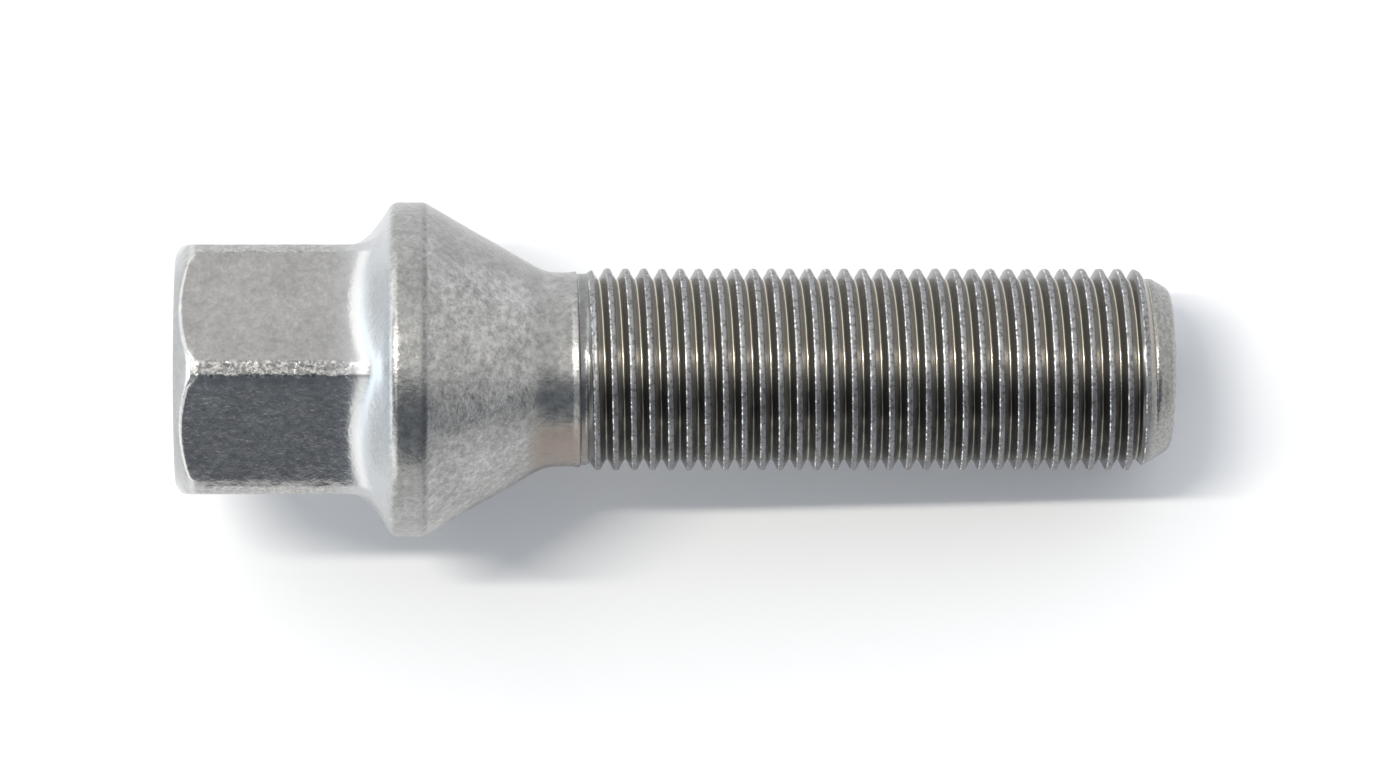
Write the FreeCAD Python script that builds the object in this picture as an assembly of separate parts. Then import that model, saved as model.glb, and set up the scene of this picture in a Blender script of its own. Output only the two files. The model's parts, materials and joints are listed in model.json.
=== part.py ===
import FreeCAD, Part
import math
import os

# A wheel bolt, forged in one piece. It stands on the flat end of its hexagon at Z = 0, with its axis
# on Z and its thread pointing up. From the bottom: a chamfered hexagon, a flared shoulder, a round
# collar, the tapered seat that centres the wheel, a plain neck, the thread and a rounded lead-in.
# Lengths are in millimetres and angles in degrees.

# Hexagon
HEX_ACROSS_FLATS = 17.0
HEX_HEIGHT = 12.87  # from the end face to where the middle of a flat meets the shoulder
HEX_CORNER_RADIUS = 1.2
END_CHAMFER_WIDTH = 0.6  # across, from the middle of a flat in to the rim of the end face
END_CHAMFER_ANGLE = 35.0  # up from the end face
END_EDGE_RADIUS = 0.4

# Shoulder and collar
SHOULDER_SLOPE = 57.0  # from the axis
SHOULDER_FILLET_RADIUS = 2.0
COLLAR_LIP = 1.82  # how far the collar stands out past the hexagon's rounded corners
COLLAR_RIM_HEIGHT = 2.15
COLLAR_LOWER_EDGE_RADIUS = 1.1
COLLAR_UPPER_EDGE_RADIUS = 1.0

# Tapered seat
SEAT_ANGLE = 60.0  # included angle of the cone
SEAT_FILLET_RADIUS = 3.3

# Shank, from the small end of the seat to the tip
SHANK_LENGTH = 42.8
NECK_LENGTH = 2.3
NECK_RELIEF = 0.27  # how far the neck lies below the crests of the thread
RUNOUT_LENGTH = 0.6
THREAD_CREST_DIAMETER = 13.85
TIP_CHAMFER_DEPTH = 1.45  # from the crests in to the tip's end face
TIP_CHAMFER_ANGLE = 30.0  # from the axis
TIP_EDGE_RADIUS = 0.9

# Most of an edge that one fillet may take, so that two fillets on it never meet
FILLET_SHARE = 0.48

HEX_SIDES = 6
Z_AXIS = FreeCAD.Vector(0, 0, 1)
ORIGIN = FreeCAD.Vector(0, 0, 0)

# Sizes that follow from the ones above
half_flats = HEX_ACROSS_FLATS / 2
half_side_angle = math.pi / HEX_SIDES
corner_reach = (half_flats - HEX_CORNER_RADIUS) / math.cos(half_side_angle) + HEX_CORNER_RADIUS
collar_radius = corner_reach + COLLAR_LIP
crest_radius = THREAD_CREST_DIAMETER / 2
neck_radius = crest_radius - NECK_RELIEF
tip_radius = crest_radius - TIP_CHAMFER_DEPTH

shoulder_rise = 1 / math.tan(math.radians(SHOULDER_SLOPE))
shoulder_apex = HEX_HEIGHT - half_flats * shoulder_rise
rim_bottom = HEX_HEIGHT + (collar_radius - half_flats) * shoulder_rise
rim_top = rim_bottom + COLLAR_RIM_HEIGHT
seat_top = rim_top + (collar_radius - neck_radius) / math.tan(math.radians(SEAT_ANGLE / 2))
neck_top = seat_top + NECK_LENGTH
tip = seat_top + SHANK_LENGTH
thread_top = tip - TIP_CHAMFER_DEPTH / math.tan(math.radians(TIP_CHAMFER_ANGLE))


def at(radius, height):
    """A point of a turned profile."""
    return FreeCAD.Vector(radius, 0, height)


def limited(radius, half_turn, wall):
    """A fillet's radius, made smaller where it would take more than its share of the wall beside it."""
    return min(radius, FILLET_SHARE * wall / math.tan(half_turn))


def rounded_outline(corners):
    """Edges through (point, fillet radius) corners, with each fillet limited by the edges beside it."""
    edges = []
    points = [point for point, _ in corners]
    last_end = points[0]
    for before, (corner, radius), after in zip(points, corners[1:-1], points[2:]):
        back = before - corner
        ahead = after - corner
        if radius == 0:
            edges.append(Part.makeLine(last_end, corner))
            last_end = corner
            continue
        half_turn = (math.pi - back.getAngle(ahead)) / 2
        fillet_radius = limited(radius, half_turn, min(back.Length, ahead.Length))
        reach = fillet_radius * math.tan(half_turn)
        inwards = (back.normalize() + ahead.normalize()).normalize()
        start = corner + back * reach
        middle = corner + inwards * fillet_radius * (1 / math.cos(half_turn) - 1)
        end = corner + ahead * reach
        edges.append(Part.makeLine(last_end, start))
        edges.append(Part.Arc(start, middle, end).toShape())
        last_end = end
    edges.append(Part.makeLine(last_end, points[-1]))
    return edges


def turned(corners):
    """A solid of revolution about the axis. Its first and last corners lie on the axis."""
    edges = rounded_outline(corners)
    edges.append(Part.makeLine(corners[-1][0], corners[0][0]))
    return Part.Face(Part.Wire(edges)).revolve(ORIGIN, Z_AXIS, 360)


def turned_body():
    """Everything round: shoulder, collar, seat, neck, thread body and lead-in."""
    return turned(
        [
            (at(0, shoulder_apex), 0),
            (at(collar_radius, rim_bottom), COLLAR_LOWER_EDGE_RADIUS),
            (at(collar_radius, rim_top), COLLAR_UPPER_EDGE_RADIUS),
            (at(neck_radius, seat_top), SEAT_FILLET_RADIUS),
            (at(neck_radius, neck_top), 0),
            (at(crest_radius, neck_top + RUNOUT_LENGTH), 0),
            (at(crest_radius, thread_top), 0),
            (at(tip_radius, tip), TIP_EDGE_RADIUS),
            (at(0, tip), 0),
        ]
    )


def hexagon_prism():
    """The hexagon with rounded corners, standing on Z = 0, with flats facing along X."""
    corner_radius = half_flats / math.cos(half_side_angle)
    corners = []
    for side in range(HEX_SIDES + 1):
        angle = half_side_angle * (2 * side + 1)
        corners.append(FreeCAD.Vector(corner_radius * math.cos(angle), corner_radius * math.sin(angle), 0))
    prism = Part.Face(Part.makePolygon(corners)).extrude(Z_AXIS * rim_top)
    upright = [edge for edge in prism.Edges if abs(edge.tangentAt(edge.FirstParameter).z) > 0.5]
    return prism.makeFillet(HEX_CORNER_RADIUS, upright)


def chamfer_envelope():
    """The turned form that the hexagon is forged into, which chamfers its end."""
    end_face_radius = half_flats - END_CHAMFER_WIDTH
    outside = half_flats / math.cos(half_side_angle)
    chamfer_top = (outside - end_face_radius) * math.tan(math.radians(END_CHAMFER_ANGLE))
    return turned(
        [
            (ORIGIN, 0),
            (at(end_face_radius, 0), END_EDGE_RADIUS),
            (at(outside, chamfer_top), 0),
            (at(outside, rim_top), 0),
            (at(0, rim_top), 0),
        ]
    )


def crossing_edges(solid, lowest):
    """Edges above a height where the hexagon's sides cross a cone: neither straight nor round the axis."""
    plain = (Part.Line, Part.Circle)
    return [edge for edge in solid.Edges if edge.BoundBox.ZMin > lowest and not isinstance(edge.Curve, plain)]


def forged_head():
    """The hexagon with its end chamfered, and the scalloped edges of that chamfer softened."""
    chamfer_slant = END_CHAMFER_WIDTH / math.cos(math.radians(END_CHAMFER_ANGLE))
    half_turn = math.radians(90 - END_CHAMFER_ANGLE) / 2
    head = hexagon_prism().common(chamfer_envelope())
    return head.makeFillet(limited(END_EDGE_RADIUS, half_turn, chamfer_slant), crossing_edges(head, 0))


def wheel_bolt():
    """The head and the turned body in one, with a fillet where the flats run out into the shoulder."""
    lip_slant = COLLAR_LIP / math.sin(math.radians(SHOULDER_SLOPE))
    half_turn = math.radians(SHOULDER_SLOPE) / 2
    fillet_radius = limited(SHOULDER_FILLET_RADIUS, half_turn, lip_slant)
    bolt = forged_head().fuse(turned_body()).removeSplitter()
    return bolt.makeFillet(fillet_radius, crossing_edges(bolt, HEX_HEIGHT / 2)).Solids[0]


os.makedirs("parts", exist_ok=True)
wheel_bolt().exportStep("parts/wheel_bolt.step")
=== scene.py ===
import json
import math

import bmesh
import bpy
from mathutils import Matrix, Vector, noise


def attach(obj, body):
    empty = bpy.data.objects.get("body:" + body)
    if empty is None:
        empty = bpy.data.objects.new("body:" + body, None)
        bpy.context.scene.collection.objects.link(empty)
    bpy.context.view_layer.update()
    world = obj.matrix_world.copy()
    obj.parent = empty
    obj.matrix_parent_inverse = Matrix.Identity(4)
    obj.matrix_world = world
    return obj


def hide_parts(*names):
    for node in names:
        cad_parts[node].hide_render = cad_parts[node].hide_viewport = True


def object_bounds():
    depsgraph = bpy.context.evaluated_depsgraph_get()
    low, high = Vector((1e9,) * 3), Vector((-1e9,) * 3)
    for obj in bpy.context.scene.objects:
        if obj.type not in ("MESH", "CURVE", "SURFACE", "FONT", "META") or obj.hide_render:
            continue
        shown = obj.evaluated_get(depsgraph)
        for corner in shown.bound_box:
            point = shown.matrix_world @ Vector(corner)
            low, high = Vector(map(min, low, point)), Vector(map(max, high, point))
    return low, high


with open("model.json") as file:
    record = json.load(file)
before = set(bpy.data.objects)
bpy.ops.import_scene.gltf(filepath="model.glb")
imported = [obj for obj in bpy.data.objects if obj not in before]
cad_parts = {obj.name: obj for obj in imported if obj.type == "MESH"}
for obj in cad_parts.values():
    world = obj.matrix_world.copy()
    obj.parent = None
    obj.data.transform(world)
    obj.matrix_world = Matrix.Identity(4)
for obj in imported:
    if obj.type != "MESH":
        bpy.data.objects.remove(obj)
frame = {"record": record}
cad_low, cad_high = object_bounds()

# Wheel bolt, standing on the end of its hexagon with its axis on Z. All lengths are in metres.
MM = 0.001
NODE = "wheel_bolt"
SLOT = "zinc_coated_steel"
mounts = {mount["name"]: mount for mount in frame["record"]["mounts"]}

# Hexagon
HEX_SIDES = 6
HALF_FLATS = 8.5 * MM
HEX_CORNER_RADIUS = 1.2 * MM
HEX_HEIGHT = 12.87 * MM
END_FACE_RADIUS = 7.9 * MM
END_CHAMFER_ANGLE = math.radians(35)
END_EDGE_RADIUS = 0.4 * MM
END_EDGE_BLEND = 0.45 * MM  # width of the rounded edge between the chamfer and a flat
END_CORNER_BLEND = 1.2 * MM  # the same at a corner
END_CORNER_START = 1.08 * HALF_FLATS
CORNER_WEAR = 0.1 * MM  # how much of a corner is worn away
CORNER_WEAR_BLEND = 0.06 * MM
SHOULDER_SLOPE = math.radians(57)
SHOULDER_BLEND = 2.7 * MM  # width of the fillet between a flat and the shoulder
SHOULDER_FADE = 0.8 * MM  # height over which the fillet gives way to the plain shoulder

# Collar, tapered seat and neck
COLLAR_RADIUS = min(cad_high.x, cad_high.y, -cad_low.x, -cad_low.y)
COLLAR_RIM_HEIGHT = 2.15 * MM
COLLAR_LOWER_EDGE = 0.8 * MM
COLLAR_UPPER_EDGE = 1.0 * MM
SEAT_HALF_ANGLE = math.radians(30)
SEAT_FILLET = 3.3 * MM
NECK_LENGTH = 2.2 * MM
NECK_RELIEF = 0.27 * MM
NECK_LIP_EDGE = 0.08 * MM
LIP_RISE = 0.09 * MM  # height of the bead at the end of the neck
LIP_LENGTH = 0.45 * MM
LIP_BLEND = 1.0 * MM
BAND_DEPTH = 0.1 * MM
BAND_LENGTH = 0.5 * MM
BAND_TILT = 0.13 * MM  # the neck ends this much higher at +X, and lower at -X

# Thread and lead-in
CREST_RADIUS = mounts["thread"]["dims"]["r_mm"] * MM
PITCH = 1.25 * MM
THREAD_DEPTH = 0.75 * MM
CREST_SHARE = 0.25
ROOT_SHARE = 0.10
CREST_EDGE_RADIUS = 0.12 * MM
ROOT_EDGE_RADIUS = 0.10 * MM
CREST_AT_TOP_OF_PHOTO = 29.45 * MM  # height of a crest at -X, which is up in the photo
TURNS_BELOW = 3  # turns of the helix below that crest, of which the neck cuts off the first
START_LENGTH = 0.7 * MM  # height over which the thread grows to its full depth
TIP = cad_high.z
TIP_CHAMFER_DEPTH = 1.45 * MM
TIP_CHAMFER_ANGLE = math.radians(30)
TIP_EDGE_RADIUS = 0.9 * MM
CONE_BLEND = 0.09 * MM
NOSE_BELOW_ROOTS = 0.1 * MM  # how far the nose starts below the roots

# Noise is read along turned axes, so that its own grid never lines up with the flats
SKEW_ANGLE = 0.9
SKEW_AXIS = Vector((1, 2, 3))
SKEW = Matrix.Rotation(SKEW_ANGLE, 3, SKEW_AXIS)
FRACTAL_FADE = 0.8
FRACTAL_STEP = 2.1
FRACTAL_LAYERS = 3

# How uneven the skin is: each depth with the length over which it varies, and where it starts
FORGE_WAVE = 0.012 * MM
FORGE_WAVE_LENGTH = 2.4 * MM
SKIN_START = 1 * MM
CORNER_NICK = 0.03 * MM
CORNER_NICK_LENGTH = 0.55 * MM
CORNER_NICK_START = 1.09 * HALF_FLATS
CORNER_NICK_FADE = 2 * MM
CORNER_WAVE = 0.6  # share by which the wear of a corner varies along it
CORNER_WAVE_LENGTH = 2.6 * MM
CREST_WEAR = 0.045 * MM
CREST_WEAR_LENGTH = 0.35 * MM
CREST_WEAR_LEVEL = 0.6
CREST_WEAR_REACH = 0.2 * MM

# Mesh density: columns round the axis, longest rows along it, steps of an arc, and gaps left for bridges
HEAD_COLUMNS = 256
CORNER_CROWDING = 0.55  # how much closer together the columns stand at the corners
THREAD_COLUMNS = 104
END_FACE_ROW = 1.3 * MM
CHAMFER_TOP = 1.5 * MM
CHAMFER_ROWS = 22
CHAMFER_CROWDING = 1.4
FLAT_ROW = 0.21 * MM
FILLET_ROW = 0.1 * MM
TURNED_ROW = 0.36 * MM
NOSE_ROW = 0.5 * MM
ARC_STEPS = 3
HEAD_ARC_STEPS = 6
NOSE_ARC_STEPS = 8
BAND_GAP = 0.02 * MM
NOSE_GAP = 0.12 * MM
WELD = 0.001 * MM
CUT_WELD = 4 * WELD
CUT_PRECISION = WELD / 100

# Sizes and heights that follow from these
half_side = math.pi / HEX_SIDES
corner_reach = (HALF_FLATS - HEX_CORNER_RADIUS) / math.cos(half_side) + HEX_CORNER_RADIUS
root_radius = CREST_RADIUS - THREAD_DEPTH
neck_radius = CREST_RADIUS - NECK_RELIEF
band_radius = neck_radius - BAND_DEPTH
tip_radius = CREST_RADIUS - TIP_CHAMFER_DEPTH
rim_bottom = HEX_HEIGHT + (COLLAR_RADIUS - HALF_FLATS) / math.tan(SHOULDER_SLOPE)
rim_top = rim_bottom + COLLAR_RIM_HEIGHT
shoulder_end = rim_bottom - COLLAR_LOWER_EDGE * math.tan(SHOULDER_SLOPE / 2) * math.cos(SHOULDER_SLOPE)
seat_top = rim_top + (COLLAR_RADIUS - neck_radius) / math.tan(SEAT_HALF_ANGLE)
neck_top = seat_top + NECK_LENGTH
band_top = neck_top + BAND_LENGTH
thread_start = CREST_AT_TOP_OF_PHOTO - (1 + TURNS_BELOW) * PITCH
thread_top = TIP - TIP_CHAMFER_DEPTH / math.tan(TIP_CHAMFER_ANGLE)
nose_bottom = TIP - (root_radius - NOSE_BELOW_ROOTS - tip_radius) / math.tan(TIP_CHAMFER_ANGLE)
end_face_rim = END_FACE_RADIUS - END_EDGE_RADIUS * math.tan(END_CHAMFER_ANGLE / 2)


def smooth_step(value, start, end):
    share = min(max((value - start) / (end - start), 0.0), 1.0)
    return share * share * (3 - 2 * share)


def soft_max(first, second, width):
    """The larger of two values, rounded over where they come within width of each other."""
    closeness = max(width - abs(first - second), 0.0) / width
    return max(first, second) + closeness**3 * width / 6


def soft_min(first, second, width):
    return -soft_max(-first, -second, width)


def rounded_profile(corners, steps=ARC_STEPS):
    """Points along a profile of (radius, height, fillet) corners, with each fillet as an arc."""
    points = [Vector(corners[0][:2])]
    for before, corner, after in zip(corners, corners[1:], corners[2:]):
        place = Vector(corner[:2])
        if corner[2] == 0:
            points.append(place)
            continue
        back = (Vector(before[:2]) - place).normalized()
        ahead = (Vector(after[:2]) - place).normalized()
        half_turn = (math.pi - back.angle(ahead)) / 2
        centre = place + (back + ahead).normalized() * corner[2] / math.cos(half_turn)
        start = place + back * corner[2] * math.tan(half_turn) - centre
        turn = start.angle_signed(place + ahead * corner[2] * math.tan(half_turn) - centre)
        for step in range(steps + 1):
            points.append(centre + Matrix.Rotation(-turn * step / steps, 2) @ start)
    points.append(Vector(corners[-1][:2]))
    return points


def divided(points, longest):
    """The same profile with its long stretches divided evenly."""
    result = [points[0]]
    for start, end in zip(points, points[1:]):
        pieces = max(1, math.ceil((end - start).length / longest))
        for piece in range(1, pieces + 1):
            result.append(start.lerp(end, piece / pieces))
    return result


def spin_profile(bm, points, columns, rise=0.0):
    """Spins a profile of (radius, height) points round Z, climbing by rise over the turn."""
    verts = [bm.verts.new((point.x, 0, point.y)) for point in points]
    edges = [bm.edges.new(pair) for pair in zip(verts, verts[1:])]
    bmesh.ops.spin(
        bm,
        geom=verts + edges,
        cent=(0, 0, 0),
        axis=(0, 0, 1),
        dvec=(0, 0, rise / columns),
        angle=math.tau,
        steps=columns,
        use_merge=rise == 0.0,
    )


def unevenness(place, length):
    """A smooth random depth, from 0 to 2 and mostly near 1, that varies over about this length."""
    wave = noise.fractal(SKEW @ place / length, FRACTAL_FADE, FRACTAL_STEP, FRACTAL_LAYERS)
    return min(max(1 + wave, 0.0), 2.0)


def hexagon_radius(angle, wear=CORNER_WEAR):
    """Distance from the axis to the rounded hexagon with worn corners, whose flats face along X."""
    off_flat = (angle + half_side) % (2 * half_side) - half_side
    inner = HALF_FLATS - HEX_CORNER_RADIUS
    off_corner = half_side - abs(off_flat)
    corner_centre = inner / math.cos(half_side)
    aside = corner_centre * math.sin(off_corner)
    on_arc = corner_centre * math.cos(off_corner) + math.sqrt(max(HEX_CORNER_RADIUS**2 - aside**2, 0.0))
    flat_end = math.atan2(inner * math.tan(half_side), HALF_FLATS)
    if abs(off_flat) < flat_end:
        return HALF_FLATS / math.cos(off_flat)
    return soft_min(on_arc, (corner_reach - wear) / math.cos(off_corner), CORNER_WEAR_BLEND)


def chamfer_radius(height):
    """The turned form of the head's end: a small round at the end face, then a cone."""
    reach = END_EDGE_RADIUS * math.tan(END_CHAMFER_ANGLE / 2)
    if height < reach * math.sin(END_CHAMFER_ANGLE):
        return END_FACE_RADIUS - reach + math.sqrt(2 * END_EDGE_RADIUS * height - height**2)
    return END_FACE_RADIUS + height / math.tan(END_CHAMFER_ANGLE)


def head_radius(angle, height):
    """The hexagon, chamfered at its end and flowing out into the shoulder."""
    corner = math.floor(angle / (2 * half_side))
    along_corner = unevenness(Vector((corner * MM, 0, height)), CORNER_WAVE_LENGTH)
    wear = CORNER_WEAR * (1 + CORNER_WAVE * (along_corner - 1))
    hexagon = hexagon_radius(angle, wear)
    on_corner = smooth_step(hexagon, END_CORNER_START, corner_reach - CORNER_WEAR)
    edge_blend = END_EDGE_BLEND + (END_CORNER_BLEND - END_EDGE_BLEND) * on_corner
    side = soft_min(hexagon, chamfer_radius(height), edge_blend)
    shoulder = HALF_FLATS + (height - HEX_HEIGHT) * math.tan(SHOULDER_SLOPE)
    flared = soft_max(side, shoulder, SHOULDER_BLEND)
    past_fillet = smooth_step(height, shoulder_end - SHOULDER_FADE, shoulder_end)
    return flared + (shoulder - flared) * past_fillet


def head_profile():
    """Rows of the head from the middle of its end face to the band where the thread starts."""
    end_face = divided([Vector((0, 0)), Vector((end_face_rim, 0))], END_FACE_ROW)
    chamfer = []
    for row in range(1, CHAMFER_ROWS + 1):
        chamfer.append(Vector((HALF_FLATS, CHAMFER_TOP * (row / CHAMFER_ROWS) ** CHAMFER_CROWDING)))
    fillet_start = HEX_HEIGHT - SHOULDER_BLEND / math.tan(SHOULDER_SLOPE)
    side = divided([chamfer[-1], Vector((HALF_FLATS, fillet_start))], FLAT_ROW)
    turned = rounded_profile(
        [
            (HALF_FLATS, HEX_HEIGHT, 0),
            (COLLAR_RADIUS, rim_bottom, COLLAR_LOWER_EDGE),
            (COLLAR_RADIUS, rim_top, COLLAR_UPPER_EDGE),
            (neck_radius, seat_top, SEAT_FILLET),
            (neck_radius, neck_top - LIP_LENGTH, LIP_BLEND),
            (neck_radius + LIP_RISE, neck_top, NECK_LIP_EDGE),
            (band_radius, neck_top + BAND_DEPTH, NECK_LIP_EDGE / 2),
            (band_radius, band_top, 0),
        ],
        steps=HEAD_ARC_STEPS,
    )
    fillet = divided([side[-1], Vector((HALF_FLATS, shoulder_end))], FILLET_ROW)
    return end_face + chamfer[:-1] + side + fillet[1:-1] + divided(turned[1:], TURNED_ROW)


def shape_head(bm):
    """Turns the spun head into the hexagon, and makes its skin as uneven as a forging."""
    for vert in bm.verts:
        x, y, z = vert.co
        angle = math.atan2(y, x)
        radius = math.hypot(x, y)
        if radius < END_FACE_RADIUS / 2:
            continue
        crowding = CORNER_CROWDING * (1 - smooth_step(z, HEX_HEIGHT, seat_top))
        angle += crowding / HEX_SIDES * math.sin(HEX_SIDES * angle)
        if 0 < z < shoulder_end:
            radius = head_radius(angle, z)
        on_corner = smooth_step(hexagon_radius(angle), CORNER_NICK_START, corner_reach - CORNER_WEAR)
        on_corner *= 1 - smooth_step(z, HEX_HEIGHT - CORNER_NICK_FADE, HEX_HEIGHT)
        place = Vector((math.cos(angle) * radius, math.sin(angle) * radius, z))
        off_end = smooth_step(z, 0, SKIN_START)
        radius -= FORGE_WAVE * unevenness(place, FORGE_WAVE_LENGTH) * off_end
        radius -= CORNER_NICK * on_corner * unevenness(place, CORNER_NICK_LENGTH) * off_end
        if z < band_top - WELD:
            z += BAND_TILT * math.cos(angle) * smooth_step(z, seat_top, neck_top)
        vert.co = (math.cos(angle) * radius, math.sin(angle) * radius, z)


def build_head():
    bm = bmesh.new()
    spin_profile(bm, head_profile(), HEAD_COLUMNS)
    bmesh.ops.remove_doubles(bm, verts=bm.verts, dist=WELD)
    shape_head(bm)
    return bm


def thread_profile():
    """One pitch of the thread, from the middle of a root to the middle of the next."""
    root_end = ROOT_SHARE / 2 * PITCH
    crest_start = (0.5 - CREST_SHARE / 2) * PITCH
    return rounded_profile(
        [
            (root_radius, 0, 0),
            (root_radius, root_end, ROOT_EDGE_RADIUS),
            (CREST_RADIUS, crest_start, CREST_EDGE_RADIUS),
            (CREST_RADIUS, PITCH - crest_start, CREST_EDGE_RADIUS),
            (root_radius, PITCH - root_end, ROOT_EDGE_RADIUS),
            (root_radius, PITCH, 0),
        ]
    )


def shape_thread(bm):
    """Fades the thread in above the neck and cuts its crests down to the lead-in's cone."""
    for vert in bm.verts:
        x, y, z = vert.co
        radius = math.hypot(x, y)
        on_crest = smooth_step(radius, CREST_RADIUS - CREST_WEAR_REACH, CREST_RADIUS)
        wear = CREST_WEAR * on_crest * (CREST_WEAR_LEVEL + noise.noise(vert.co / CREST_WEAR_LENGTH))
        grown = smooth_step(z, band_top, band_top + START_LENGTH)
        new_radius = band_radius + grown * (radius - max(wear, 0.0) - band_radius)
        cone = tip_radius + (TIP - z) * math.tan(TIP_CHAMFER_ANGLE)
        new_radius = soft_min(new_radius, cone, CONE_BLEND)
        vert.co.x *= new_radius / radius
        vert.co.y *= new_radius / radius


def build_thread():
    """A helix one pitch wide, repeated up the shank, welded and cut level at both ends."""
    bm = bmesh.new()
    spin_profile(bm, thread_profile(), THREAD_COLUMNS, rise=PITCH)
    bmesh.ops.translate(bm, verts=bm.verts, vec=(0, 0, thread_start))
    bmesh.ops.spin(
        bm,
        geom=bm.verts[:] + bm.edges[:] + bm.faces[:],
        cent=(0, 0, 0),
        axis=(0, 0, 1),
        dvec=(0, 0, PITCH),
        angle=0,
        steps=math.ceil((TIP - thread_start) / PITCH),
        use_duplicate=True,
    )
    bmesh.ops.remove_doubles(bm, verts=bm.verts, dist=WELD)
    for height, side in ((band_top + BAND_GAP, -1), (nose_bottom, 1)):
        bmesh.ops.bisect_plane(
            bm,
            geom=bm.verts[:] + bm.edges[:] + bm.faces[:],
            dist=CUT_PRECISION,
            plane_co=(0, 0, height),
            plane_no=(0, 0, side),
            clear_outer=True,
        )
    bmesh.ops.remove_doubles(bm, verts=bm.verts, dist=CUT_WELD)
    shape_thread(bm)
    return bm


def build_nose():
    """The lead-in above the last of the thread, closed by the flat of the tip."""
    bm = bmesh.new()
    first = nose_bottom + NOSE_GAP
    points = rounded_profile(
        [
            (tip_radius + (TIP - first) * math.tan(TIP_CHAMFER_ANGLE), first, 0),
            (tip_radius, TIP, TIP_EDGE_RADIUS),
            (0, TIP, 0),
        ],
        steps=NOSE_ARC_STEPS,
    )
    spin_profile(bm, divided(points, NOSE_ROW), THREAD_COLUMNS)
    bmesh.ops.remove_doubles(bm, verts=bm.verts, dist=WELD)
    return bm


def open_loop(bm, low, high):
    """The open edges between two heights."""
    boundary = [edge for edge in bm.edges if edge.is_boundary]
    return [edge for edge in boundary if all(low < vert.co.z < high for vert in edge.verts)]


def build_bolt():
    """One closed skin: head, thread and nose, bridged where they meet."""
    whole = bmesh.new()
    for part in (build_head(), build_thread(), build_nose()):
        mesh = bpy.data.meshes.new("part")
        part.to_mesh(mesh)
        part.free()
        whole.from_mesh(mesh)
        bpy.data.meshes.remove(mesh)
    for low, high in ((seat_top, neck_top + PITCH), (nose_bottom - PITCH / 2, TIP - PITCH / 4)):
        bmesh.ops.bridge_loops(whole, edges=open_loop(whole, low, high))
    bmesh.ops.recalc_face_normals(whole, faces=whole.faces)
    for face in whole.faces:
        face.smooth = True
    left_open = sum(1 for edge in whole.edges if not edge.is_manifold)
    print("forged_bolt triangles", sum(len(face.verts) - 2 for face in whole.faces), "open edges", left_open)
    mesh = bpy.data.meshes.new("forged_bolt")
    whole.to_mesh(mesh)
    whole.free()
    bolt = bpy.data.objects.new("forged_bolt", mesh)
    bpy.context.collection.objects.link(bolt)
    return bolt


def add_node(tree, kind, inputs, **settings):
    """A node with its settings, and with inputs given as values or as sockets to link."""
    node = tree.nodes.new(kind)
    for name, value in settings.items():
        setattr(node, name, value)
    for name, value in inputs.items():
        if isinstance(value, bpy.types.NodeSocket):
            tree.links.new(value, node.inputs[name])
        else:
            node.inputs[name].default_value = value
    return node


def calculate(tree, operation, first, second=0.0):
    return add_node(tree, "ShaderNodeMath", {0: first, 1: second}, operation=operation).outputs["Value"]


def scaled(tree, value, factor, offset=0.0):
    """The value times a factor, plus an offset."""
    inputs = {0: value, 1: factor, 2: offset}
    return add_node(tree, "ShaderNodeMath", inputs, operation="MULTIPLY_ADD").outputs["Value"]


def span(tree, share, low, high):
    """From low where the share is 0 to high where it is 1."""
    return scaled(tree, share, high - low, low)


def product(tree, *values):
    result = values[0]
    for value in values[1:]:
        result = calculate(tree, "MULTIPLY", result, value)
    return result


def total(tree, *values):
    result = values[0]
    for value in values[1:]:
        result = calculate(tree, "ADD", result, value)
    return result


def rise(tree, value, start, end):
    """From 0 at start to 1 at end, and smooth between them. The end may be the lower of the two."""
    inputs = {"Value": value, "From Min": start, "From Max": end}
    return add_node(tree, "ShaderNodeMapRange", inputs, interpolation_type="SMOOTHSTEP").outputs["Result"]


def between(tree, value, start, end, soft):
    """1 from start to end, with soft edges."""
    risen = rise(tree, value, start - soft, start + soft)
    fallen = rise(tree, value, end - soft, end + soft)
    return calculate(tree, "SUBTRACT", risen, fallen)


def grain(tree, place, size, detail=2.0):
    """Noise from 0 to 1 with spots of about this size."""
    inputs = {"Vector": place, "Scale": 1 / size, "Detail": detail, "Roughness": GRAIN_ROUGHNESS}
    return add_node(tree, "ShaderNodeTexNoise", inputs).outputs["Fac"]


def blend(tree, share, first, second):
    inputs = {0: share, 6: first, 7: second}
    return add_node(tree, "ShaderNodeMix", inputs, data_type="RGBA").outputs[2]


def mix_values(tree, share, first, second):
    return add_node(tree, "ShaderNodeMix", {0: share, 2: first, 3: second}, data_type="FLOAT").outputs[0]


def colour_scale(tree, value, stops):
    """Colours along a value from 0 to 1."""
    node = add_node(tree, "ShaderNodeValToRGB", {"Fac": value})
    ramp = node.color_ramp
    while len(ramp.elements) < len(stops):
        ramp.elements.new(1.0)
    for element, (position, colour) in zip(ramp.elements, stops):
        element.position = position
        element.color = colour
    return node.outputs["Color"]


# Noise in the materials: how rough it is, and its mean
GRAIN_ROUGHNESS = 0.6
NOISE_MIDDLE = 0.5

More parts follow.
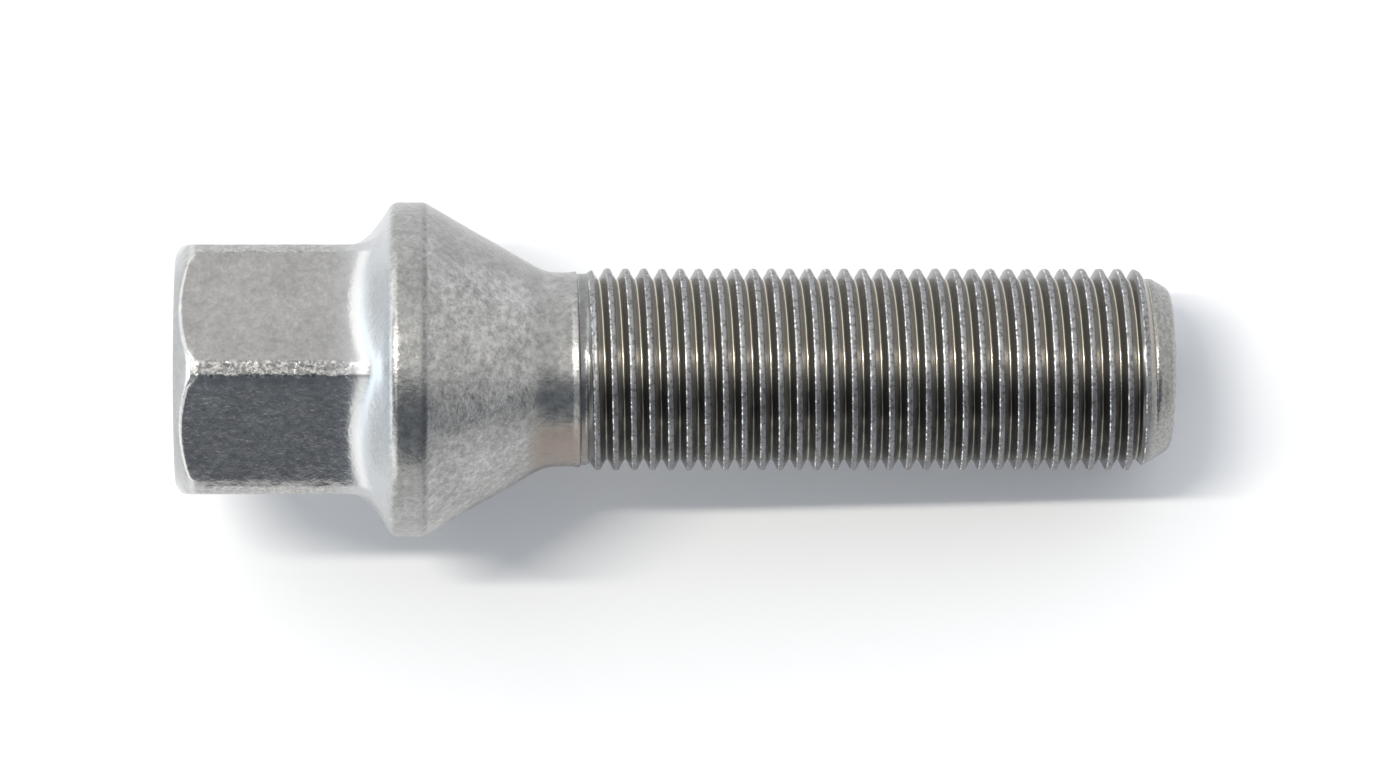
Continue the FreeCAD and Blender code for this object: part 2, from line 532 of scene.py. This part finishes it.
# Colours of the rolled thread, in order from the middle of a root over a crest to the next root
# Painted highlight: a thin yellow line in the middle of each root
ROOT_PAINTED_HIGHLIGHT = (0.50, 0.48, 0.40, 1)
# Dark left flanks: partly the coating's own dark colour and partly painted shade in the grooves
LEFT_FLANK = (0.145, 0.147, 0.142, 1)
# Painted highlight: a lighter band along the left edge of each crest
CREST_EDGE_HIGHLIGHT = (0.46, 0.46, 0.47, 1)
CREST_BAND = (0.30, 0.298, 0.308, 1)
RIGHT_FLANK_HIGH = (0.44, 0.395, 0.355, 1)
RIGHT_FLANK_LOW = (0.38, 0.335, 0.29, 1)
# Painted highlight: near-white specks along the crests' left edges
PAINTED_CREST_GLINT = (0.95, 0.95, 0.95, 1)
THREAD_COLOURS = (
    (0.000, ROOT_PAINTED_HIGHLIGHT),
    (0.025, ROOT_PAINTED_HIGHLIGHT),
    (0.060, LEFT_FLANK),
    (0.330, LEFT_FLANK),
    (0.375, CREST_EDGE_HIGHLIGHT),
    (0.425, CREST_BAND),
    (0.650, CREST_BAND),
    (0.720, RIGHT_FLANK_HIGH),
    (0.900, RIGHT_FLANK_LOW),
    (0.955, ROOT_PAINTED_HIGHLIGHT),
)
# Painted shade: near black on the +X side, which is down in the picture, and heaviest in the grooves
PAINTED_PLUS_X_SHADE = (0.075, 0.075, 0.075, 1)

# Stretches of one pitch, from the middle of a root: start, end and the softness of both
CREST = (0.35, 0.68, 0.03)
LEFT_EDGE = (0.35, 0.41, 0.02)
RIGHT_FLANK = (0.70, 0.93, 0.03)

# Patterns of the thread: the size of their spots, and the noise at which they start and are full
PIT_SIZE = 0.26 * MM
PIT_LEVELS = (0.5, 0.6)
# Painted highlight: size and levels of the specks on the crests' left edges
GLINT_SIZE = 0.3 * MM
GLINT_LEVELS = (0.54, 0.62)
# Patches of the painted shade on the thread's +X side: their size, levels, least share, and share on the
# crests and in the grooves
PLUS_X_SHADE_SIZE = 2.2 * MM
PLUS_X_SHADE_LEVELS = (0.3, 0.6)
PLUS_X_SHADE_LEAST = 0.6
PLUS_X_SHADE_ON_CREST = 0.42
PLUS_X_SHADE_IN_GROOVE = 0.82

# Colours of the zinc on the forged head
ZINC_DARK = (0.26, 0.258, 0.254, 1)
ZINC_MIDDLE = (0.39, 0.385, 0.378, 1)
ZINC_LIGHT = (0.54, 0.535, 0.53, 1)
ZINC_COLOURS = ((0.36, ZINC_DARK), (0.5, ZINC_MIDDLE), (0.66, ZINC_LIGHT))
NICK_DARK = (0.22, 0.22, 0.215, 1)
NICK_LIGHT = (0.62, 0.61, 0.57, 1)
NICK_COLOURS = ((0.38, NICK_DARK), (0.5, ZINC_MIDDLE), (0.62, NICK_LIGHT))
# A browner, darker colour on the neck's +X side, which is down in the picture
NECK_PLUS_X_BROWN = (0.24, 0.195, 0.165, 1)
SOOT = (0.16, 0.165, 0.17, 1)
# Painted reflection: lighter, bluer zinc on the left-facing shoulder and chamfer
PAINTED_BLUE_REFLECTION = (0.52, 0.53, 0.54, 1)
# Near-white bare steel at the ends of the corners next to the chamfer: partly wear, partly painted highlight
BARE_STEEL_AND_HIGHLIGHT = (0.88, 0.87, 0.84, 1)
GRIME = (0.26, 0.262, 0.25, 1)

# Patterns of the head: the size of their spots, their shares in the mottle and its contrast
CLOUD_SIZE = 3.2 * MM
CLOUD_SHARE = 0.3
MOTTLE_SIZE = 0.5 * MM
MOTTLE_SHARE = 0.45
SPECK_SIZE = 0.2 * MM
SPECK_SHARE = 0.25
NICK_SIZE = 0.24 * MM
LUMP_SIZE = 0.42 * MM
HEXAGON_CONTRAST = 0.6
COLLAR_CONTRAST = 1.5
SOOT_LEVELS = (0.38, 0.58)

# Stretches along the bolt: start, end and the softness of both
RUBBED_AND_HIGHLIT_ENDS = (0.75 * MM, 1.4 * MM, 0.2 * MM)
NICKED_EDGES = (1.0 * MM, HEX_HEIGHT - 0.9 * MM, 0.5 * MM)
FILLET = (HEX_HEIGHT - 0.9 * MM, HEX_HEIGHT + 0.3 * MM, 0.5 * MM)
LUMPY_RIM = (rim_bottom - 0.3 * MM, rim_top, 0.4 * MM)
GRIMY_RIM = (rim_bottom, rim_top, 0.3 * MM)
SOOT_RING = (rim_top - 0.15 * MM, rim_top + 0.2 * MM, 0.15 * MM)
SEAT = (rim_top + 0.4 * MM, seat_top - 0.4 * MM, 0.5 * MM)
DULL_NECK = (seat_top - 1 * MM, neck_top, 1 * MM)
GRIMY_NECK = (seat_top - 1 * MM, band_top, 1 * MM)
SOOT_BAND = (neck_top + 0.05 * MM, band_top + 0.1 * MM, 0.05 * MM)

# Heights along the bolt where a change starts and where it is complete
COARSE_ZINC = (HEX_HEIGHT - 1.5 * MM, rim_bottom)
SHOULDER_BEGINS = (HEX_HEIGHT - 2.6 * MM, HEX_HEIGHT)
SHOULDER_ENDS = (rim_bottom - 0.45 * MM, rim_bottom + 0.15 * MM)
THREAD_BEGINS = (band_top, band_top + 0.2 * MM)
NOSE_BEGINS = (thread_top, thread_top + 0.5 * MM)
THREAD_ENDS = (thread_top + 0.5 * MM, thread_top + 1.2 * MM)

# The same across the bolt: along +X, which is down in the picture, and along +Y, away from its camera
# Where the thread's painted shade starts and is full
PLUS_X_SHADE_SIDE = (-0.3 * MM, 2.6 * MM)
BROWNED_SIDE = (2.5 * MM, 5 * MM)
# Painted shade: the seat's grime is heavier towards -X, which is up in the picture
GRIME_AND_SHADE_SIDE = (-2 * MM, -7 * MM)
# Painted highlight: the corners' wear and bare steel are fuller towards -Y, the camera's side
FRONT = (-4 * MM, -8 * MM)

# The same by distance: in from the corners of the hexagon, in from the chamfer and out from the patch of
# painted highlight on the seat
NICKED_DEPTHS = (0.21 * MM, 0.13 * MM)
RUBBED_AND_HIGHLIT_DEPTHS = (0.6 * MM, 0.25 * MM)
CHAMFER_DEPTHS = (0.1 * MM, 0.3 * MM)
# Painted highlight: a lighter patch on the seat, kept free of grime
SEAT_HIGHLIGHT_PATCH = (-2.5 * MM, -8.5 * MM, 21.3 * MM)
SEAT_HIGHLIGHT_PATCH_REACH = (3 * MM, 7 * MM)

# How much of each colour shows where there is most of it
BACK_WEAR_AND_HIGHLIGHT = 0.4
RIM_GRIME = 0.5
NECK_GRIME = 0.4
NOSE_GRIME = 0.68
SEAT_GRIME = 0.22
SEAT_GRIME_AND_SHADE_ABOVE = 0.57
RING_SOOT = 0.8
BAND_SOOT = 0.75
SHOULDER_PAINTED_REFLECTION = 0.85
CHAMFER_PAINTED_REFLECTION = 0.2
RUBBED_STEEL_AND_HIGHLIGHT = 0.8
NECK_PLUS_X_BROWNING = 0.85

# Sheen and bumps
METALLIC = 0.95
FLANK_METALLIC = 0.65
HEAD_ROUGHNESS = 0.10
MOTTLE_ROUGHNESS = 0.14
COLLAR_ROUGHNESS = 0.10
FILLET_ROUGHNESS = 0.14
NECK_ROUGHNESS = 0.02
GROOVE_ROUGHNESS = 0.24
CREST_ROUGHNESS = 0.44
SPECK_BUMPS = 0.5
LUMP_BUMPS = 0.7
RIM_BUMPS = 1.2
GROOVE_BUMPS = 0.15
CREST_SMOOTHING = 0.2
BUMP_STRENGTH = 0.45
BUMP_DEPTH = 0.05 * MM


def thread_colour(tree, place, across, height):
    """Dark flanks, partly painted shade in the grooves, a painted yellow highlight in the roots, worn,
    speckled crests with a painted highlight and glints on their left edges, and painted shade on the +X side.

    Also gives 1 on the crests, and 1 on the flanks to their right.
    """
    angle = calculate(tree, "ARCTAN2", across[1], across[0])
    climbed = scaled(tree, height, 1 / PITCH, -thread_start / PITCH)
    phase = calculate(tree, "FRACT", calculate(tree, "SUBTRACT", climbed, scaled(tree, angle, 1 / math.tau)))
    on_crest = between(tree, phase, *CREST)
    on_edge = between(tree, phase, *LEFT_EDGE)
    on_flank = between(tree, phase, *RIGHT_FLANK)
    pitted = product(tree, on_crest, rise(tree, grain(tree, place, PIT_SIZE, detail=3.0), *PIT_LEVELS))
    # Painted highlight: white specks on the crests' left edges
    painted_glint = product(tree, on_edge, rise(tree, grain(tree, place, GLINT_SIZE, detail=1.0), *GLINT_LEVELS))
    patchy = span(tree, rise(tree, grain(tree, place, PLUS_X_SHADE_SIZE), *PLUS_X_SHADE_LEVELS), PLUS_X_SHADE_LEAST, 1.0)
    # Painted shade on the +X side, in patches, and heavier in the grooves
    plus_x_shade = product(tree, rise(tree, across[0], *PLUS_X_SHADE_SIDE), patchy)
    in_groove = calculate(tree, "SUBTRACT", 1.0, on_crest)
    plus_x_shade = product(tree, plus_x_shade, span(tree, in_groove, PLUS_X_SHADE_ON_CREST, PLUS_X_SHADE_IN_GROOVE))
    colour = colour_scale(tree, phase, THREAD_COLOURS)
    colour = blend(tree, pitted, colour, LEFT_FLANK)
    colour = blend(tree, plus_x_shade, colour, PAINTED_PLUS_X_SHADE)
    colour = blend(tree, painted_glint, colour, PAINTED_CREST_GLINT)
    return colour, on_crest, on_flank


def on_corners(tree, across, height):
    """1 on the worn corners of the hexagon, 1 on their worn, brightened ends, both fuller towards the camera
    as painted highlight, and the distance from the axis.
    """
    flat = add_node(tree, "ShaderNodeCombineXYZ", {"X": across[0], "Y": across[1]}).outputs["Vector"]
    radius = add_node(tree, "ShaderNodeVectorMath", {0: flat}, operation="LENGTH").outputs["Value"]
    out = rise(tree, radius, *(corner_reach - depth for depth in NICKED_DEPTHS))
    beside = rise(tree, radius, *(corner_reach - depth for depth in RUBBED_AND_HIGHLIT_DEPTHS))
    # Painted highlight: wear and bare steel at the corners are fuller on the -Y side, which faces the camera
    front = span(tree, rise(tree, across[1], *FRONT), BACK_WEAR_AND_HIGHLIGHT, 1.0)
    worn = product(tree, out, between(tree, height, *NICKED_EDGES), front)
    rubbed_and_highlit = product(tree, beside, between(tree, height, *RUBBED_AND_HIGHLIT_ENDS), front)
    return worn, rubbed_and_highlit, radius


def grime_share(tree, place, across, height, on_nose):
    """Grime on the rim, the neck, the nose and the seat; on the seat it is heavier towards -X as painted
    shade, and left out of a patch as painted highlight.
    """
    from_patch = add_node(tree, "ShaderNodeVectorMath", {0: place, 1: SEAT_HIGHLIGHT_PATCH}, operation="DISTANCE")
    off_patch = rise(tree, from_patch.outputs["Value"], *SEAT_HIGHLIGHT_PATCH_REACH)
    # Painted shade: more grime on the seat towards -X, its upper side in the picture
    above = rise(tree, across[0], *GRIME_AND_SHADE_SIDE)
    on_seat = product(tree, between(tree, height, *SEAT), off_patch)
    return total(
        tree,
        scaled(tree, between(tree, height, *GRIMY_RIM), RIM_GRIME),
        scaled(tree, between(tree, height, *GRIMY_NECK), NECK_GRIME),
        scaled(tree, on_nose, NOSE_GRIME),
        product(tree, on_seat, span(tree, above, SEAT_GRIME, SEAT_GRIME_AND_SHADE_ABOVE)),
    )


def soot_share(tree, height, mottle):
    """Soot in a broken ring at the upper edge of the collar, and in the band below the thread."""
    broken = rise(tree, mottle, *SOOT_LEVELS)
    in_ring = product(tree, between(tree, height, *SOOT_RING), broken, RING_SOOT)
    return total(tree, in_ring, scaled(tree, between(tree, height, *SOOT_BAND), BAND_SOOT))


def painted_reflection_share(tree, height, radius):
    """A lighter, bluer colour on the shoulder and on the chamfer at the end of the head, as a painted
    reflection of light from the left.
    """
    flared = rise(tree, height, *SHOULDER_BEGINS)
    on_shoulder = calculate(tree, "SUBTRACT", flared, rise(tree, height, *SHOULDER_ENDS))
    cone = scaled(tree, height, 1 / math.tan(END_CHAMFER_ANGLE), END_FACE_RADIUS)
    off_chamfer = rise(tree, calculate(tree, "SUBTRACT", cone, radius), *CHAMFER_DEPTHS)
    on_chamfer = span(tree, off_chamfer, CHAMFER_PAINTED_REFLECTION, 0.0)
    return calculate(tree, "MAXIMUM", scaled(tree, on_shoulder, SHOULDER_PAINTED_REFLECTION), on_chamfer)


def head_colour(tree, place, across, height, grains):
    """Mottled zinc with nicked corners, grime with painted shade and highlight on the seat, soot, painted
    highlights at the corners, a painted reflection on the shoulder and chamfer, and a browner, darker colour
    on the neck's +X side.

    Also gives 1 where it is nicked, and 1 past the hexagon.
    """
    mottle, speck, nick = grains
    mixed = total(
        tree,
        scaled(tree, grain(tree, place, CLOUD_SIZE, detail=3.0), CLOUD_SHARE),
        scaled(tree, mottle, MOTTLE_SHARE),
        scaled(tree, speck, SPECK_SHARE),
    )
    past_hexagon = rise(tree, height, *COARSE_ZINC)
    contrast = span(tree, past_hexagon, HEXAGON_CONTRAST, COLLAR_CONTRAST)
    mixed = total(tree, product(tree, total(tree, mixed, -NOISE_MIDDLE), contrast), NOISE_MIDDLE)
    corner, rubbed_and_highlit, radius = on_corners(tree, across, height)
    on_nose = rise(tree, height, *NOSE_BEGINS)
    nicked = calculate(tree, "MAXIMUM", corner, on_nose)
    # Browner and darker towards +X on the neck
    below = rise(tree, across[0], *BROWNED_SIDE)
    browned_plus_x = product(tree, below, between(tree, height, *GRIMY_NECK), NECK_PLUS_X_BROWNING)
    colour = colour_scale(tree, mixed, ZINC_COLOURS)
    colour = blend(tree, nicked, colour, colour_scale(tree, nick, NICK_COLOURS))
    colour = blend(tree, grime_share(tree, place, across, height, on_nose), colour, GRIME)
    colour = blend(tree, soot_share(tree, height, mottle), colour, SOOT)
    colour = blend(tree, painted_reflection_share(tree, height, radius), colour, PAINTED_BLUE_REFLECTION)
    # Bare steel at the corners' ends: partly wear, partly painted highlight
    colour = blend(tree, scaled(tree, rubbed_and_highlit, RUBBED_STEEL_AND_HIGHLIGHT), colour, BARE_STEEL_AND_HIGHLIGHT)
    colour = blend(tree, browned_plus_x, colour, NECK_PLUS_X_BROWN)
    return colour, nicked, past_hexagon


def steel_material():
    """Dull zinc on a forged head, and a darker rolled thread with bright crests."""
    material = bpy.data.materials.new(SLOT)
    material.use_nodes = True
    tree = material.node_tree
    shader = tree.nodes["Principled BSDF"]
    place = add_node(tree, "ShaderNodeTexCoord", {}).outputs["Object"]
    parts = add_node(tree, "ShaderNodeSeparateXYZ", {"Vector": place})
    across = (parts.outputs["X"], parts.outputs["Y"])
    height = parts.outputs["Z"]
    mottle = grain(tree, place, MOTTLE_SIZE, detail=4.0)
    speck = grain(tree, place, SPECK_SIZE)
    nick = grain(tree, place, NICK_SIZE)
    lumps = grain(tree, place, LUMP_SIZE)
    thread, on_crest, on_flank = thread_colour(tree, place, across, height)
    head, nicked, past_hexagon = head_colour(tree, place, across, height, (mottle, speck, nick))
    past_band = rise(tree, height, *THREAD_BEGINS)
    on_thread = calculate(tree, "SUBTRACT", past_band, rise(tree, height, *THREAD_ENDS))
    tree.links.new(blend(tree, on_thread, head, thread), shader.inputs["Base Color"])
    metallic = span(tree, product(tree, on_flank, on_thread), METALLIC, FLANK_METALLIC)
    tree.links.new(metallic, shader.inputs["Metallic"])
    rough_head = total(
        tree,
        scaled(tree, mottle, MOTTLE_ROUGHNESS, HEAD_ROUGHNESS),
        scaled(tree, past_hexagon, COLLAR_ROUGHNESS),
        scaled(tree, between(tree, height, *FILLET), FILLET_ROUGHNESS),
        scaled(tree, between(tree, height, *DULL_NECK), NECK_ROUGHNESS),
    )
    rough_thread = span(tree, on_crest, GROOVE_ROUGHNESS, CREST_ROUGHNESS)
    tree.links.new(mix_values(tree, on_thread, rough_head, rough_thread), shader.inputs["Roughness"])
    lumpy = span(tree, between(tree, height, *LUMPY_RIM), LUMP_BUMPS, RIM_BUMPS)
    bumps = total(
        tree,
        scaled(tree, speck, SPECK_BUMPS),
        product(tree, lumps, lumpy),
        product(tree, nick, nicked),
    )
    smoothed = product(tree, on_thread, span(tree, on_crest, 1.0, CREST_SMOOTHING))
    bumps = product(tree, bumps, span(tree, smoothed, 1.0, GROOVE_BUMPS))
    inputs = {"Height": bumps, "Strength": BUMP_STRENGTH, "Distance": BUMP_DEPTH}
    bump = add_node(tree, "ShaderNodeBump", inputs)
    tree.links.new(bump.outputs["Normal"], shader.inputs["Normal"])
    return material


# The photograph's frame and the place of the camera that took it
PHOTO_WIDTH = 1374
PHOTO_HEIGHT = 779
PIXELS_PER_METRE = 14598
AXIS_ROW = 369.4
HEAD_END_COLUMN = 177.0
FOOT_COLUMN = 408
CAMERA_DISTANCE = 510 * MM
CLIP_START = 10 * MM
CLIP_END = 20
SENSOR_WIDTH = 36


def aim_camera():
    """The camera looks along +Y with the bolt's axis across the picture, thread to the right."""
    foot = (FOOT_COLUMN - HEAD_END_COLUMN) / PIXELS_PER_METRE
    centre = (PHOTO_WIDTH / 2 - HEAD_END_COLUMN) / PIXELS_PER_METRE
    below = (PHOTO_HEIGHT / 2 - AXIS_ROW) / PIXELS_PER_METRE
    place = Vector((below, -CAMERA_DISTANCE, foot))
    target = Vector((below, 0, centre))
    back = (place - target).normalized()
    up = Vector((-1, 0, 0))
    right = up.cross(back)
    camera = bpy.data.cameras.new("camera")
    camera.sensor_width = SENSOR_WIDTH
    camera.lens = PIXELS_PER_METRE * (target - place).length * SENSOR_WIDTH / PHOTO_WIDTH
    camera.clip_start = CLIP_START
    camera.clip_end = CLIP_END
    camera_object = bpy.data.objects.new("camera", camera)
    camera_object.matrix_world = Matrix.Translation(place) @ Matrix((right, up, back)).transposed().to_4x4()
    bpy.context.collection.objects.link(camera_object)
    bpy.context.scene.camera = camera_object


# Floor, lamps and card
FLOOR_HALF_WIDTH = 1.5
FLOOR_COLOUR = (0.9, 0.9, 0.91, 1)
FLOOR_GLOW_COLOUR = (0.95, 0.97, 1, 1)
FLOOR_GLOW = 0.06
FLOOR_ROUGHNESS = 0.9
FLOOR_SPECULAR = 0.1
CREAM = (1, 0.96, 0.88)
PALE_CREAM = (1, 0.98, 0.93)
SKY_BLUE = (0.75, 0.89, 1)
CARD_ANGLE = math.radians(38)
CARD_WIDTH = 1.1
CARD_LENGTH = 3.2
CARD_DISTANCE = 1.0
CARD_GLOW = 0.19
CARD_COLOUR = (0.80, 0.93, 1.12, 1)
AMBIENT_ABOVE = (1.5, 1.56, 1.65, 1)
AMBIENT_BELOW = (0.1, 0.11, 0.13, 1)
AMBIENT_FADE = (-0.75, 0.05)
WHITE = (1, 1, 1, 1)
BLACK = (0, 0, 0, 1)
HALF_UNIT = 0.5

# Each lamp's direction from the bolt, distance, size across and along the bolt, brightness and colour
LAMPS = {
    "strip": ((-0.28, -1, -0.6), 1.8, (0.08, 1.0), 70, CREAM),
    "tall_left": ((0, -0.9, -0.45), 1.0, (1.7, 0.13), 2.6, PALE_CREAM),
    "upper_left": ((-0.78, -0.38, -0.54), 0.9, (0.6, 0.5), 1.1, PALE_CREAM),
    "lower_left": ((0.78, -0.38, -0.54), 0.9, (0.6, 0.5), 1.4, PALE_CREAM),
    "window": ((0, -0.18, -1), 0.8, (1.6, 0.35), 1.3, SKY_BLUE),
}


def add_sheet(name, half_width, axes, middle):
    """A flat square sheet with its sides along the first two axes and its face along the third."""
    bm = bmesh.new()
    bmesh.ops.create_grid(bm, x_segments=1, y_segments=1, size=half_width)
    mesh = bpy.data.meshes.new(name)
    bm.to_mesh(mesh)
    bm.free()
    mesh.transform(Matrix.Translation(middle) @ Matrix(axes).transposed().to_4x4())
    sheet = bpy.data.objects.new(name, mesh)
    bpy.context.collection.objects.link(sheet)
    material = bpy.data.materials.new(name)
    material.use_nodes = True
    mesh.materials.append(material)
    return sheet, material.node_tree


def lay_floor():
    """The pale surface that the bolt lies on in the picture, touching its collar and its last crests."""
    collar_touch = Vector((0, COLLAR_RADIUS, (rim_bottom + rim_top) / 2))
    crest_touch = Vector((0, CREST_RADIUS, thread_top))
    side = Vector((1, 0, 0))
    facing = (crest_touch - collar_touch).normalized().cross(side)
    if facing.y > 0:
        facing.negate()
    tree = add_sheet("floor", FLOOR_HALF_WIDTH, (side.cross(facing), side, facing), collar_touch)[1]
    shader = tree.nodes["Principled BSDF"]
    shader.inputs["Base Color"].default_value = FLOOR_COLOUR
    shader.inputs["Roughness"].default_value = FLOOR_ROUGHNESS
    shader.inputs["Emission Color"].default_value = FLOOR_GLOW_COLOUR
    shader.inputs["Emission Strength"].default_value = FLOOR_GLOW
    shader.inputs["Specular IOR Level"].default_value = FLOOR_SPECULAR
    behind = add_node(tree, "ShaderNodeNewGeometry", {}).outputs["Backfacing"]
    clear = add_node(tree, "ShaderNodeBsdfTransparent", {}).outputs["BSDF"]
    inputs = {0: behind, 1: shader.outputs["BSDF"], 2: clear}
    one_sided = add_node(tree, "ShaderNodeMixShader", inputs).outputs["Shader"]
    tree.links.new(one_sided, tree.nodes["Material Output"].inputs["Surface"])


def hang_dark_card():
    """A dark card in front of the bolt and below the camera, which darkens the lower flat of the hexagon."""
    towards = Vector((math.sin(CARD_ANGLE), -math.cos(CARD_ANGLE), 0))
    along = Vector((0, 0, 1))
    axes = (towards.cross(along) * CARD_WIDTH, along * CARD_LENGTH, towards)
    middle = Vector((0, 0, TIP / 2)) + towards * CARD_DISTANCE
    card, tree = add_sheet("dark_card", HALF_UNIT, axes, middle)
    card.visible_camera = False
    card.visible_shadow = False
    shader = tree.nodes["Principled BSDF"]
    shader.inputs["Base Color"].default_value = BLACK
    shader.inputs["Specular IOR Level"].default_value = 0.0
    shader.inputs["Emission Color"].default_value = CARD_COLOUR
    shader.inputs["Emission Strength"].default_value = CARD_GLOW


def add_lamp(name, direction, distance, size, radiance, colour):
    """A soft lamp of a given brightness that faces the bolt's middle, with its second side along the bolt."""
    lamp = bpy.data.lights.new(name, "AREA")
    lamp.shape = "RECTANGLE"
    lamp.size = size[0]
    lamp.size_y = size[1]
    lamp.energy = radiance * math.pi * size[0] * size[1]
    lamp.color = colour
    towards = Vector(direction).normalized()
    lamp_object = bpy.data.objects.new(name, lamp)
    lamp_object.location = Vector((0, 0, TIP / 2)) + towards * distance
    lamp_object.rotation_euler = towards.to_track_quat("Z", "Y").to_euler()
    bpy.context.collection.objects.link(lamp_object)


def light_scene():
    """A strip lamp, a tall lamp at the left, two soft lamps for the fillets, a window and a pale sky."""
    for name, settings in LAMPS.items():
        add_lamp(name, *settings)
    world = bpy.data.worlds.new("studio")
    bpy.context.scene.world = world
    world.use_nodes = True
    tree = world.node_tree
    path = add_node(tree, "ShaderNodeLightPath", {}).outputs
    seen = calculate(tree, "MAXIMUM", path["Is Camera Ray"], path["Is Glossy Ray"])
    seen = calculate(tree, "MAXIMUM", seen, path["Is Transmission Ray"])
    direction = add_node(tree, "ShaderNodeTexCoord", {}).outputs["Generated"]
    downwards = add_node(tree, "ShaderNodeSeparateXYZ", {"Vector": direction}).outputs["X"]
    sky = blend(tree, rise(tree, downwards, *AMBIENT_FADE), AMBIENT_ABOVE, AMBIENT_BELOW)
    tree.links.new(blend(tree, seen, sky, WHITE), tree.nodes["Background"].inputs["Color"])


def main():
    bpy.context.scene.view_settings.view_transform = "Standard"
    bolt = build_bolt()
    bolt.data.materials.append(steel_material())
    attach(bolt, "root")
    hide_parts(NODE)
    aim_camera()
    lay_floor()
    hang_dark_card()
    light_scene()


main()
